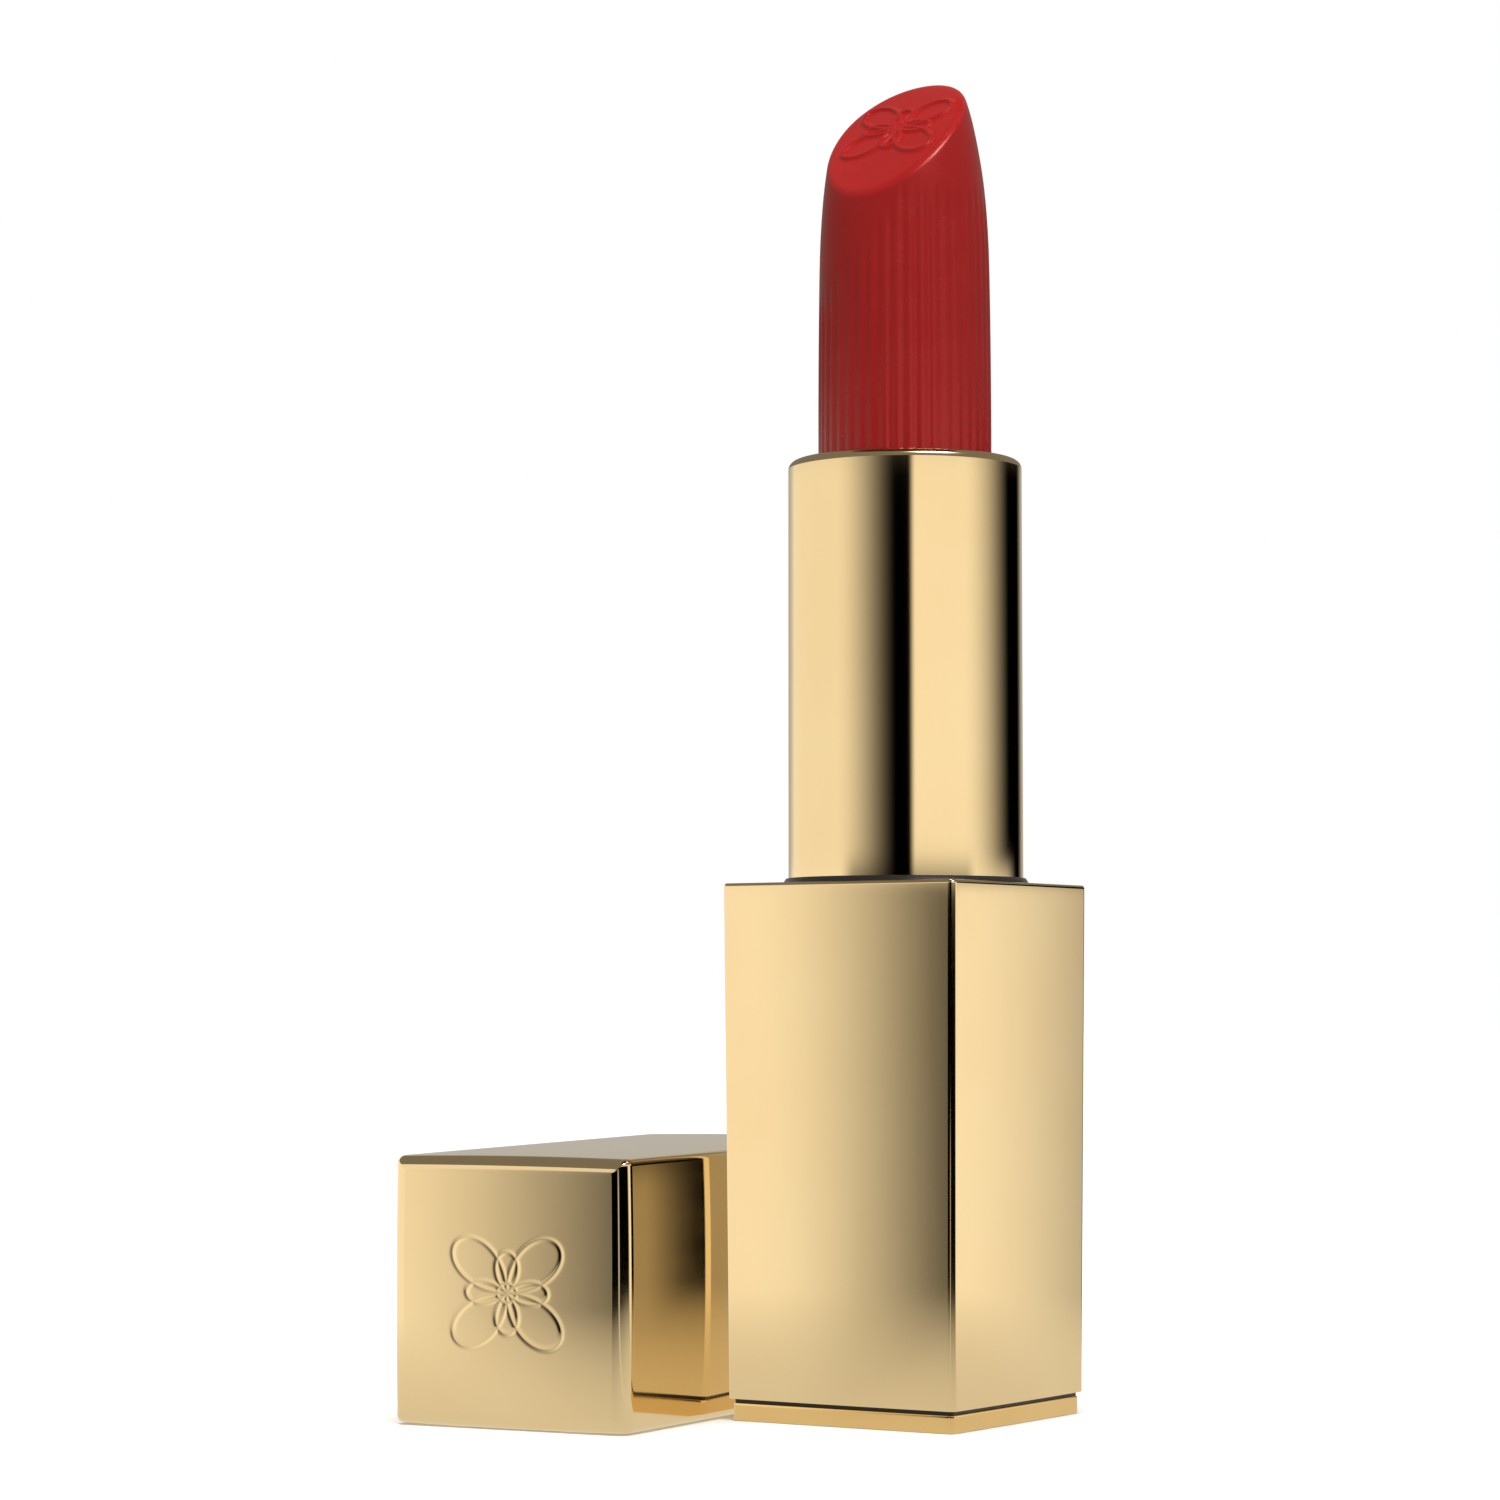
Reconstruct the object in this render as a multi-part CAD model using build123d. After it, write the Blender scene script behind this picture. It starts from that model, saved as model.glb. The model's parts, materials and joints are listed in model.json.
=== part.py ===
from build123d import *
import os
from math import pi, degrees, atan, sin, cos

# Refillable lipstick case, standing on its foot, bullet raised, cap lying beside it.
# Frame: origin at the centre of the foot's underside, +Z up, sides of the base along X and Y.
# The slanted face of the bullet looks towards -Y. All dimensions in millimetres.

# ---------------------------------------------------------------- driving dimensions
# base
SIDE_MOUTH = 18.80        # side of the square at the parting line between base and cap
SIDE_BOTTOM = 18.25       # side of the base shell at its lower edge
FOOT_SIDE = 17.68
FOOT_H = 1.23             # height of the foot's visible band
GAP_H = 0.27              # shadow gap between the foot and the shell
BASE_TOP = 36.87          # upper edge of the base shell
SHELL_T = 0.40            # sheet thickness of the base and cap shells
CORNER_R = 0.50           # radius of the long edges
RIM_R = 0.25              # rounding of the shell's upper edge
FIT_GAP = 0.04            # gap between pressed or glued pieces of one body

# tube and refill
TUBE_R = 8.19
TUBE_TOP = 66.55
TUBE_WALL = 0.33
TUBE_RIM_R = 0.60
NECK_R = 8.62             # outer radius of the raised neck ring
NECK_TOP = 37.27
BORE_UP_R = 8.40          # bore round the sleeve
BORE_LOW_R = 8.00         # bore round the cartridge plug
PLUG_R = 7.80
KEY_W, RIB_R, KEY_R, KEY_Z = 1.60, 8.12, 8.42, 13.40   # key ribs that stop the refill from turning
CLIP_Z = 12.00            # groove of the spring ring
PLUG_BOTTOM = 9.00
SLEEVE_BOTTOM = 28.50
SPIRAL_TOP = 64.90
SPIRAL_IN_R = 7.10
GUIDE_R = 7.00            # outer radius of the slotted guide tube
GUIDE_IN_R = 6.55
GUIDE_BOTTOM = 22.20
GUIDE_TOP = 65.75
CUP_R = 6.45
CUP_IN_R = 6.14
CUP_BOTTOM = 57.20
CUP_TOP = 65.20
LUG_Z = 58.60
LUG_R = 0.90
LUG_REACH = 7.40
SLOT_W = 2.40
GROOVE_W = 2.40
GROOVE_R = 7.58
LIFT = 28.0               # travel of the cup
TWIST_DEG = 420.0         # turn of the sleeve for the whole travel
LUG_AZ = 45.0             # direction of the first lug, clear of the key ribs

# bullet
BULLET_PROFILE = [(6.08, 58.65), (6.08, 70.0), (6.03, 77.0), (5.93, 82.0), (5.70, 85.4),
                  (5.31, 88.2), (4.84, 90.6), (4.30, 92.4), (3.60, 94.2), (2.6, 95.8)]
SLANT_Z = 90.72           # height of the slanted face on the axis
SLANT_SLOPE = 1.02

# cap
CAP_LEN = 36.50
SIDE_END = 18.33          # side of the cap at its closed end
CAP_END_T = 0.60
CAP_EDGE_R = 1.10         # rounding round the closed end
LINER_BORE_R = 8.40
LINER_BORE_DEPTH = 30.20  # from the mouth
CAP_X, CAP_Y = -17.60, -22.80   # middle of the closed end on the table
CAP_YAW = 5.9             # degrees, the cap's mouth points this far to -X of +Y

MAGNET_R, MAGNET_H = 1.00, 2.00
MAGNET_OFF = 7.32

os.makedirs("parts", exist_ok=True)
made = {}


def put(name, shape):
    made[name] = shape


def side_at(z):
    """Side of the tapered base shell at height z."""
    z0 = FOOT_H + GAP_H
    return SIDE_BOTTOM + (SIDE_MOUTH - SIDE_BOTTOM) * (z - z0) / (BASE_TOP - z0)


def cap_side(s):
    """Side of the tapered cap at distance s from its closed end."""
    return SIDE_END + (SIDE_MOUTH - SIDE_END) * s / CAP_LEN


def frustum(a0, a1, z0, z1, r0, r1=None):
    """Square bar with rounded long edges, side a0 at z0 and a1 at z1."""
    r1 = r0 if r1 is None else r1
    lo = Plane.XY.offset(z0) * RectangleRounded(a0, a0, r0)
    hi = Plane.XY.offset(z1) * RectangleRounded(a1, a1, r1)
    return loft([lo, hi], ruled=True)


def cyl(r, z0, z1):
    return Pos(0, 0, z0) * Cylinder(r, z1 - z0, align=(Align.CENTER, Align.CENTER, Align.MIN))


def tube(r_out, r_in, z0, z1):
    return cyl(r_out, z0, z1) - cyl(r_in, z0 - 1, z1 + 1)


def solid_of_revolution(points):
    """Turned piece from its half section, given as (radius, height) points."""
    wire = Polyline(*[(r, 0, z) for r, z in points], close=True)
    return revolve(make_face(wire), Axis.Z, 360)


def square_box(a, z0, z1, r):
    return extrude(Plane.XY.offset(z0) * RectangleRounded(a, a, r), z1 - z0)


# ================================================================ base
z0 = FOOT_H + GAP_H
outer = frustum(SIDE_BOTTOM, SIDE_MOUTH, z0, BASE_TOP, CORNER_R)
top_edges = outer.edges().group_by(Axis.Z)[-1]
outer = fillet(top_edges, RIM_R)
inner = frustum(side_at(z0 - 1) - 2 * SHELL_T, side_at(BASE_TOP + 1) - 2 * SHELL_T,
                z0 - 1, BASE_TOP + 1, 0.25)
put("base_shell", outer - inner)

SPIGOT = SIDE_BOTTOM - 2 * SHELL_T - 0.10
foot = square_box(FOOT_SIDE, 0, FOOT_H, CORNER_R)
foot = chamfer(foot.edges().group_by(Axis.Z)[0], 0.12)
foot = foot + square_box(SPIGOT, FOOT_H - 0.2, 3.2, 0.30)
foot = foot - square_box(SPIGOT - 2.4, 2.2, 4.0, 0.40)       # raised rim on the spigot
foot = foot - cyl(6.10, -1, 0.20)                            # recess of the label
put("base_foot", foot)
put("shade_label", cyl(6.00, 0.08, 0.20))

# moulded carrier: square outside, stepped round bore, weight pocket below, magnet pockets above
INS_Z0, INS_Z1 = 3.25, 35.30
ins = frustum(side_at(INS_Z0) - 2 * SHELL_T - 2 * FIT_GAP, side_at(INS_Z1) - 2 * SHELL_T - 2 * FIT_GAP,
              INS_Z0, INS_Z1, 0.22)
ins = ins - cyl(BORE_UP_R, 26.20, INS_Z1 + 1) - cyl(BORE_LOW_R, 8.70, 27.0)
ins = ins - square_box(15.20, INS_Z0 - 1, 7.70, 0.60)
for a in (45, 225):                                          # keyways, above the clip
    way = Box(KEY_R, KEY_W + 0.40, 26.3 - KEY_Z, align=(Align.CENTER, Align.CENTER, Align.MIN))
    ins = ins - Rot(0, 0, a) * Pos(KEY_R / 2, 0, KEY_Z) * way
ins = ins - tube(8.36, 7.0, CLIP_Z, CLIP_Z + 1.10)
for sx in (-1, 1):
    for sy in (-1, 1):
        ins = ins - Pos(sx * MAGNET_OFF, sy * MAGNET_OFF, 0) * cyl(MAGNET_R + 0.04, INS_Z1 - MAGNET_H - 0.05, INS_Z1 + 1)
put("base_insert", ins)
put("base_weight", square_box(15.10, INS_Z0 + 0.02, 7.65, 0.60) - cyl(2.0, 6.2, 9))
clip = tube(8.30, 7.90, CLIP_Z + 0.05, CLIP_Z + 1.05)
clip = clip - Pos(8, 0, CLIP_Z) * Box(3, 1.6, 4)
put("refill_clip", clip)
mags = [Pos(sx * MAGNET_OFF, sy * MAGNET_OFF, 0) * cyl(MAGNET_R, INS_Z1 - MAGNET_H, INS_Z1)
        for sx in (-1, 1) for sy in (-1, 1)]
put("base_magnets", Compound(children=mags))

# bezel: square plate with the raised neck ring
bez = square_box(side_at(36.0) - 2 * SHELL_T - 2 * FIT_GAP - 0.02, 35.35, 36.55, 0.22)
neck = solid_of_revolution([(0, 35.6), (NECK_R, 35.6), (NECK_R, BASE_TOP - 0.02), (TUBE_R + 0.14, NECK_TOP), (0, NECK_TOP)])
bez = bez + neck
bez = bez - cyl(TUBE_R + 0.09, 30, 40)
put("neck_collar", bez)

# ================================================================ refill core
plug = cyl(PLUG_R, PLUG_BOTTOM, 26.50) + cyl(8.10, 26.45, 28.20)
plug = chamfer(plug.edges().group_by(Axis.Z)[0], 0.5)
for a in (45, 225):
    rib = Box(2.0, KEY_W, 12.4, align=(Align.MAX, Align.CENTER, Align.MIN))
    plug = plug + Rot(0, 0, a) * Pos(RIB_R, 0, KEY_Z + 0.2) * rib
plug = plug - cyl(GUIDE_R + 0.02, GUIDE_BOTTOM - 0.02, 30)
plug = plug - cyl(6.0, 10.40, 24)
put("cartridge_plug", plug)

guide = tube(GUIDE_R, GUIDE_IN_R, GUIDE_BOTTOM, GUIDE_TOP)
SLOT_LO, SLOT_HI = LUG_Z - LIFT - 1.45, LUG_Z + 1.45
for a in (LUG_AZ, LUG_AZ + 180):
    cut = Box(3.0, SLOT_W, SLOT_HI - SLOT_LO, align=(Align.CENTER, Align.CENTER, Align.MIN))
    guide = guide - Rot(0, 0, a) * Pos(6.8, 0, SLOT_LO) * cut
put("inner_body", guide)
put("retaining_ring", tube(7.60, GUIDE_R + 0.02, 65.12, 65.70))
put("brake_ring", Pos(0, 0, 28.34) * Torus(7.26, 0.12))

# ================================================================ sleeve
R_IN = TUBE_R - TUBE_WALL
cover_pts = [(TUBE_R, SLEEVE_BOTTOM + 0.25), (TUBE_R - 0.10, SLEEVE_BOTTOM), (R_IN, SLEEVE_BOTTOM),
             (R_IN, TUBE_TOP - 0.45), (6.62, TUBE_TOP - 0.45), (6.62, TUBE_TOP)]
sec_lines = Polyline(*[(r, 0, z) for r, z in cover_pts])
arc = ThreePointArc((TUBE_R - TUBE_RIM_R, 0, TUBE_TOP),
                    (TUBE_R - TUBE_RIM_R + TUBE_RIM_R * sin(pi / 4), 0, TUBE_TOP - TUBE_RIM_R + TUBE_RIM_R * cos(pi / 4)),
                    (TUBE_R, 0, TUBE_TOP - TUBE_RIM_R))
l1 = Line((6.62, 0, TUBE_TOP), (TUBE_R - TUBE_RIM_R, 0, TUBE_TOP))
l2 = Line((TUBE_R, 0, TUBE_TOP - TUBE_RIM_R), (TUBE_R, 0, SLEEVE_BOTTOM + 0.25))
cover = revolve(make_face([sec_lines, l1, arc, l2]), Axis.Z, 360)
put("tube_cover", cover)

spiral = tube(R_IN - 0.03, SPIRAL_IN_R, SLEEVE_BOTTOM, SPIRAL_TOP)
PITCH = LIFT * 360.0 / TWIST_DEG
OVER = 11.0                                   # degrees the grooves run past each end of travel
turn = TWIST_DEG + 2 * OVER
g_height = PITCH * turn / 360.0
g_z0 = LUG_Z - LIFT - PITCH * OVER / 360.0
MID_R = (GROOVE_R + 6.9) / 2
for a in (LUG_AZ, LUG_AZ + 180):
    start = a - TWIST_DEG - OVER              # the groove climbs as it turns towards the lug
    path = Helix(pitch=PITCH, height=g_height, radius=MID_R)
    tangent = path % 0
    sec = Plane(origin=path @ 0, x_dir=(1, 0, 0), z_dir=tangent) * Rectangle(GROOVE_R - 6.9, GROOVE_W)
    groove = sweep(sec, path=path, is_frenet=True)
    spiral = spiral - Rot(0, 0, start) * Pos(0, 0, g_z0) * groove
put("spiral_tube", spiral)

# ================================================================ carrier
cup = cyl(CUP_R, CUP_BOTTOM, CUP_TOP) - cyl(CUP_IN_R, CUP_BOTTOM + 1.4, CUP_TOP + 1)
cup = cup - cyl(3.5, CUP_BOTTOM - 1, CUP_BOTTOM + 0.5)
for a in (LUG_AZ, LUG_AZ + 180):
    lug = Rot(0, 0, a) * Pos(0, 0, LUG_Z) * Rot(0, 90, 0) * Cylinder(LUG_R, LUG_REACH - 6.2,
                                                              align=(Align.CENTER, Align.CENTER, Align.MIN)).moved(Pos(0, 0, 6.2))
    cup = cup + lug
put("carrier_cup", cup)

# bullet: turned ogive, cut by the slanted face, edges melted round
pts = [(r, 0, z) for r, z in BULLET_PROFILE]
side = Spline(*pts[1:], tangents=[(0, 0, 1), (-0.6, 0, 1)])
low = Line((0, 0, BULLET_PROFILE[0][1]), pts[0])
wall = Line(pts[0], pts[1])
cap_l = Line(pts[-1], (0, 0, BULLET_PROFILE[-1][1]))
axis_l = Line((0, 0, BULLET_PROFILE[-1][1]), (0, 0, BULLET_PROFILE[0][1]))
body = revolve(make_face([low, wall, side, cap_l, axis_l]), Axis.Z, 360)
slant = Plane(origin=(0, 0, SLANT_Z), x_dir=(1, 0, 0), z_dir=(0, -SLANT_SLOPE, 1))
cutter = slant * Box(40, 40, 30, align=(Align.CENTER, Align.CENTER, Align.MIN))
body = body - cutter
face = body.faces().sort_by(lambda f: (f.normal_at() - Vector(0, -SLANT_SLOPE, 1).normalized()).length)[0]
body = fillet(face.outer_wire().edges(), 0.45)
put("bullet", body)

# ================================================================ cap (built standing on its closed end, s along +Z)
cs = frustum(SIDE_END, SIDE_MOUTH, 0, CAP_LEN, CORNER_R)


def edge_profile(plane):
    """Thick slab with the cap's tapered outline and its two rounded closed-end edges."""
    quad = Polygon((-SIDE_END / 2, 0), (SIDE_END / 2, 0), (SIDE_MOUTH / 2, CAP_LEN), (-SIDE_MOUTH / 2, CAP_LEN), align=None)
    low = quad.vertices().sort_by(Axis.Y)[:2]
    return extrude(plane * fillet(low, CAP_EDGE_R), 15, both=True)


cs = cs & edge_profile(Plane.XZ) & edge_profile(Plane.YZ)
ci = frustum(cap_side(CAP_END_T) - 2 * SHELL_T, cap_side(CAP_LEN + 1) - 2 * SHELL_T, CAP_END_T, CAP_LEN + 1, 0.25)
cap_shell = cs - ci

L_TOP = CAP_LEN - 0.55 - 0.90                 # liner's mouth face, under the bezel plate
lin = frustum(cap_side(CAP_END_T + 0.05) - 2 * SHELL_T - 2 * FIT_GAP, cap_side(L_TOP) - 2 * SHELL_T - 2 * FIT_GAP,
              CAP_END_T + 0.05, L_TOP, 0.22)
lin = lin - cyl(LINER_BORE_R, CAP_LEN - LINER_BORE_DEPTH, L_TOP + 1)
lin = lin - square_box(15.20, 0, 4.50, 0.60)
for sx in (-1, 1):
    for sy in (-1, 1):
        lin = lin - Pos(sx * MAGNET_OFF, sy * MAGNET_OFF, 0) * cyl(MAGNET_R + 0.04, L_TOP - MAGNET_H - 0.05, L_TOP + 1)
ring = square_box(cap_side(CAP_LEN - 1.45) - 2 * SHELL_T - 2 * FIT_GAP - 0.02, L_TOP + 0.03, CAP_LEN - 0.55, 0.22) - cyl(LINER_BORE_R + 0.02, 30, 40)
weight = square_box(15.10, CAP_END_T + 0.08, 4.45, 0.60)
cmags = [Pos(sx * MAGNET_OFF, sy * MAGNET_OFF, 0) * cyl(MAGNET_R, L_TOP - MAGNET_H, L_TOP) for sx in (-1, 1) for sy in (-1, 1)]

# lay it down: mouth towards +Y, resting on one tapered side, then turned by its yaw
tilt = degrees(atan((SIDE_MOUTH - SIDE_END) / 2 / CAP_LEN))
# rotation about X takes +Z to +Y; the side that faced +Y comes to face down
lay = Pos(CAP_X, CAP_Y, 0) * Rot(0, 0, CAP_YAW) * Rot(tilt, 0, 0) * Pos(0, 0, SIDE_END / 2) * Rot(-90, 0, 0)
for name, shape in (("cap_shell", cap_shell), ("cap_liner", lin), ("cap_mouth_ring", ring), ("cap_weight", weight)):
    put(name, lay * shape)
put("cap_magnets", Compound(children=[lay * m for m in cmags]))

for name, shape in made.items():
    export_step(shape, f"parts/{name}.step")
    bb = shape.bounding_box()
    print(f"{name:16s} vol {shape.volume:9.2f}  x {bb.min.X:7.2f}..{bb.max.X:7.2f}  y {bb.min.Y:7.2f}..{bb.max.Y:7.2f}  z {bb.min.Z:7.2f}..{bb.max.Z:7.2f}  solids {len(shape.solids())}")
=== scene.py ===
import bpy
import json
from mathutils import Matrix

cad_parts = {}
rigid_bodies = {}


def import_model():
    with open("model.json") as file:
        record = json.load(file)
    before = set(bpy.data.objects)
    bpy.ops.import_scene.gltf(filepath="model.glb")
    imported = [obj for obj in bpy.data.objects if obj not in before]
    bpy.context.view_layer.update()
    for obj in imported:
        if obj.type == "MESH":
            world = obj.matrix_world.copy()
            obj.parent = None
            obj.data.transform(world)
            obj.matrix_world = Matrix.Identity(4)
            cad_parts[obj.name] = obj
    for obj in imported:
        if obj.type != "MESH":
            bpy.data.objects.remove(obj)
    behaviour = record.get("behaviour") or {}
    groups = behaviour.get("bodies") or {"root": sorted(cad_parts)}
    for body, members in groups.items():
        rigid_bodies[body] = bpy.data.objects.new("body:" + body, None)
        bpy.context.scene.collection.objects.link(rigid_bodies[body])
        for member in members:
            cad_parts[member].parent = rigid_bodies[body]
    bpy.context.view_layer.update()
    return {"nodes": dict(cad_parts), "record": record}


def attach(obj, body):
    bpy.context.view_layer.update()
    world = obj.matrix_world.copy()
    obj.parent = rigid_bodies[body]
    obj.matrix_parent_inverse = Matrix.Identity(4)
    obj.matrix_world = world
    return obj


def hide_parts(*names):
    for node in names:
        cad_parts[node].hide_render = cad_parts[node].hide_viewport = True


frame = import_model()

import json
import math
import bpy
import numpy as np
from mathutils import Matrix, Vector, kdtree

MM = 0.001
scene = bpy.context.scene
rec = frame["record"]

# ------------------------------------------------------------------ sizes (millimetres, as in the design)
SIDE_MOUTH, SIDE_BOTTOM = 18.80, 18.25
FOOT_SIDE, FOOT_H = 17.68, 1.23
BASE_TOP, SHELL_Z0, SHELL_T = 36.87, 1.50, 0.40
CROWN = 0.10
CORNER_R = 0.50
TUBE_R, TUBE_TOP, SLEEVE_BOTTOM, TUBE_WALL = 8.19, 66.55, 28.50, 0.33
NECK_R, NECK_TOP = 8.62, 37.27
CAP_LEN, SIDE_END, CAP_EDGE_R = 36.50, 18.33, 1.10
CAP_X, CAP_Y, CAP_YAW = -17.60, -22.80, 5.9
LINER_R, LINER_DEPTH = 8.40, 30.20


# ------------------------------------------------------------------ mesh helpers
def new_piece(name, verts, faces, normals=None, sharp=None, body=None, mat=None, hides=(), attrs=None, seam_shade_above=None):
    """A finished mesh piece, in metres, riding on its CAD body."""
    me = bpy.data.meshes.new(name)
    me.from_pydata([tuple(v) for v in (np.asarray(verts) * MM).tolist()], [], faces)
    me.validate()
    me.polygons.foreach_set("use_smooth", [True] * len(me.polygons))
    if attrs:
        for key, values in attrs.items():
            a = me.attributes.new(key, "FLOAT", "POINT")
            a.data.foreach_set("value", np.asarray(values, np.float32))
    if normals is not None:
        me.normals_split_custom_set_from_vertices([tuple(n) for n in np.asarray(normals).tolist()])
    elif sharp is not None:
        me.set_sharp_from_angle(angle=math.radians(sharp))
    me.update()
    ob = bpy.data.objects.new(name, me)
    scene.collection.objects.link(ob)
    if mat is not None:
        me.materials.append(mat)
    if seam_shade_above is not None:                          # painted shade: faces above this height get black moulding, standing in for the shadow in the seam gap; only the plate is gold
        me.materials.append(M["black_moulding"])
        for p in me.polygons:
            if p.center.z > seam_shade_above * MM:
                p.material_index = 1
    if body:
        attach(ob, body)
    if hides:
        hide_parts(*hides)
    return ob


def unit(v):
    v = np.asarray(v, float)
    return v / np.maximum(np.linalg.norm(v, axis=-1, keepdims=True), 1e-12)


def square_loop(h, r, c, n, nc):
    """Plan of a rounded square: half side h at the middle of a side, the sides bowed out by c, corner radius r.
    Returns points and outward normals, 4n of each, from the (-,-) corner round."""
    w = h - r
    for _ in range(30):
        al = math.atan2(2 * c, w)
        w = h - c - r * math.cos(al) + r * math.sin(al)
    cx, cy = -w + r * math.sin(al), -h + c + r * math.cos(al)
    pts, nrm = [], []
    for i in range(n):
        if i < nc:
            a = math.radians(225) + (math.radians(45) - al) * i / nc
            pts.append((cx + r * math.cos(a), cy + r * math.sin(a)))
            nrm.append((math.cos(a), math.sin(a)))
        elif i <= n - nc:
            t = (i - nc) / (n - 2 * nc)
            x = -w + 2 * w * t
            pts.append((x, -h + c * (x / w) ** 2))
            nrm.append((2 * c * x / w ** 2, -1.0))
        else:
            a = math.radians(270) + al + (math.radians(45) - al) * (i - (n - nc)) / nc
            pts.append((-cx + r * math.cos(a), cy + r * math.sin(a)))
            nrm.append((math.cos(a), math.sin(a)))
    p0, n0 = np.array(pts), unit(np.array(nrm))
    P, N = [], []
    for k in range(4):
        co, si = round(math.cos(k * math.pi / 2)), round(math.sin(k * math.pi / 2))
        R = np.array([[co, -si], [si, co]])
        P.append(p0 @ R.T)
        N.append(n0 @ R.T)
    return np.concatenate(P), np.concatenate(N)


def circle_loop(r, n):
    a = np.radians(225) + np.arange(4 * n) * 2 * math.pi / (4 * n)
    N = np.stack([np.cos(a), np.sin(a)], 1)
    return N * r, N


def lift(loop, z, nr=1.0, nz=0.0):
    P, N = loop
    pts = np.column_stack([P, np.full(len(P), z)])
    nrm = unit(np.column_stack([N * nr, np.full(len(N), nz)]))
    return pts, nrm


def stitch(loops, closed=False, start_fan=None, end_fan=None):
    """Joins equal loops into quads. closed joins the last to the first; a fan closes an end on a centre point."""
    m = len(loops[0][0])
    V = np.concatenate([l[0] for l in loops])
    N = np.concatenate([l[1] for l in loops])
    i = np.arange(m)
    j = (i + 1) % m
    F = []
    k = len(loops)
    for a in range(k if closed else k - 1):
        b = (a + 1) % k
        F += np.stack([a * m + i, a * m + j, b * m + j, b * m + i], 1).tolist()
    if start_fan is not None:
        V = np.vstack([V, start_fan[0]])
        N = np.vstack([N, start_fan[1]])
        c = len(V) - 1
        F += [[c, int(q), int(p)] for p, q in zip(i, j)]
    if end_fan is not None:
        V = np.vstack([V, end_fan[0]])
        N = np.vstack([N, end_fan[1]])
        c = len(V) - 1
        o = (k - 1) * m
        F += [[c, int(o + p), int(o + q)] for p, q in zip(i, j)]
    return V, F, N


def arc(cx, cz, r, a0, a1, n):
    """Points of an arc in the (inset, height) plane, with their normals as angles in degrees."""
    out = []
    for k in range(n + 1):
        a = math.radians(a0 + (a1 - a0) * k / n)
        out.append((cx + r * math.cos(a), cz + r * math.sin(a), math.cos(a), math.sin(a)))
    return out


def lathe(profile, n=256):
    """Closed turned piece from (r, z, nr, nz) points."""
    loops = []
    a = np.arange(n) * 2 * math.pi / n
    C = np.stack([np.cos(a), np.sin(a)], 1)
    for r, z, nr, nz in profile:
        loops.append((np.column_stack([C * r, np.full(n, z)]), unit(np.column_stack([C * nr, np.full(n, nz)]))))
    return loops


# ------------------------------------------------------------------ materials
def nodes_of(name):
    m = bpy.data.materials.new(name)
    m.use_nodes = True
    nt = m.node_tree
    b = nt.nodes["Principled BSDF"]
    return m, nt, b


def add(nt, kind, **props):
    n = nt.nodes.new(kind)
    for k, v in props.items():
        setattr(n, k, v)
    return n


def noise(nt, coords, scale, detail=3.0, rough=0.5, stretch=None):
    if stretch is not None:
        mp = add(nt, "ShaderNodeMapping")
        mp.inputs["Scale"].default_value = stretch
        nt.links.new(coords, mp.inputs["Vector"])
        coords = mp.outputs["Vector"]
    t = add(nt, "ShaderNodeTexNoise")
    t.inputs["Scale"].default_value = scale
    t.inputs["Detail"].default_value = detail
    t.inputs["Roughness"].default_value = rough
    nt.links.new(coords, t.inputs["Vector"])
    return t.outputs["Fac"]


def ramp(nt, fac, lo, hi, a, b):
    r = add(nt, "ShaderNodeMapRange")
    r.inputs["From Min"].default_value = lo
    r.inputs["From Max"].default_value = hi
    r.inputs["To Min"].default_value = a
    r.inputs["To Max"].default_value = b
    nt.links.new(fac, r.inputs["Value"])
    return r.outputs["Result"]


def mix(nt, fac, a, b):
    m = add(nt, "ShaderNodeMix", data_type="RGBA")
    m.inputs["A"].default_value = (*a, 1)
    m.inputs["B"].default_value = (*b, 1)
    nt.links.new(fac, m.inputs["Factor"])
    return m.outputs["Result"]


def bump(nt, b, height, strength, distance):
    n = add(nt, "ShaderNodeBump")
    n.inputs["Strength"].default_value = strength
    n.inputs["Distance"].default_value = distance
    nt.links.new(height, n.inputs["Height"])
    nt.links.new(n.outputs["Normal"], b.inputs["Normal"])


def gold(name, color, deep, rough, stretch=(1, 1, 1), scratch=0.06):
    """Anodised gold: colour drifts a little, fine polishing lines in the roughness, faint orange peel in the surface."""
    m, nt, b = nodes_of(name)
    tc = add(nt, "ShaderNodeTexCoord").outputs["Object"]
    b.inputs["Metallic"].default_value = 1.0
    broad = noise(nt, tc, 90.0, 2.0)
    nt.links.new(mix(nt, ramp(nt, broad, 0.35, 0.65, 0.0, 1.0), color, deep), b.inputs["Base Color"])
    fine = noise(nt, tc, 900.0, 4.0, 0.6, stretch)
    add_ = add(nt, "ShaderNodeMath", operation="ADD")
    nt.links.new(ramp(nt, fine, 0.3, 0.7, rough * 0.85, rough * 1.2), add_.inputs[0])
    edge = add(nt, "ShaderNodeAttribute", attribute_name="edge")
    nt.links.new(ramp(nt, edge.outputs["Fac"], 0.0, 1.0, 0.0, 0.05), add_.inputs[1])
    nt.links.new(add_.outputs[0], b.inputs["Roughness"])
    peel = noise(nt, tc, 420.0, 2.0, 0.5, stretch)
    bump(nt, b, peel, scratch, 0.00002)
    return m


def plastic(name, color, deep, rough, grain=2600.0, strength=0.12, spec=0.5):
    m, nt, b = nodes_of(name)
    tc = add(nt, "ShaderNodeTexCoord").outputs["Object"]
    nt.links.new(mix(nt, ramp(nt, noise(nt, tc, 160.0, 3.0), 0.3, 0.7, 0, 1), color, deep), b.inputs["Base Color"])
    nt.links.new(ramp(nt, noise(nt, tc, 700.0, 3.0), 0.3, 0.7, rough * 0.8, rough * 1.25), b.inputs["Roughness"])
    b.inputs["Specular IOR Level"].default_value = spec
    bump(nt, b, noise(nt, tc, grain, 2.0), strength, 0.00003)
    return m


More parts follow.
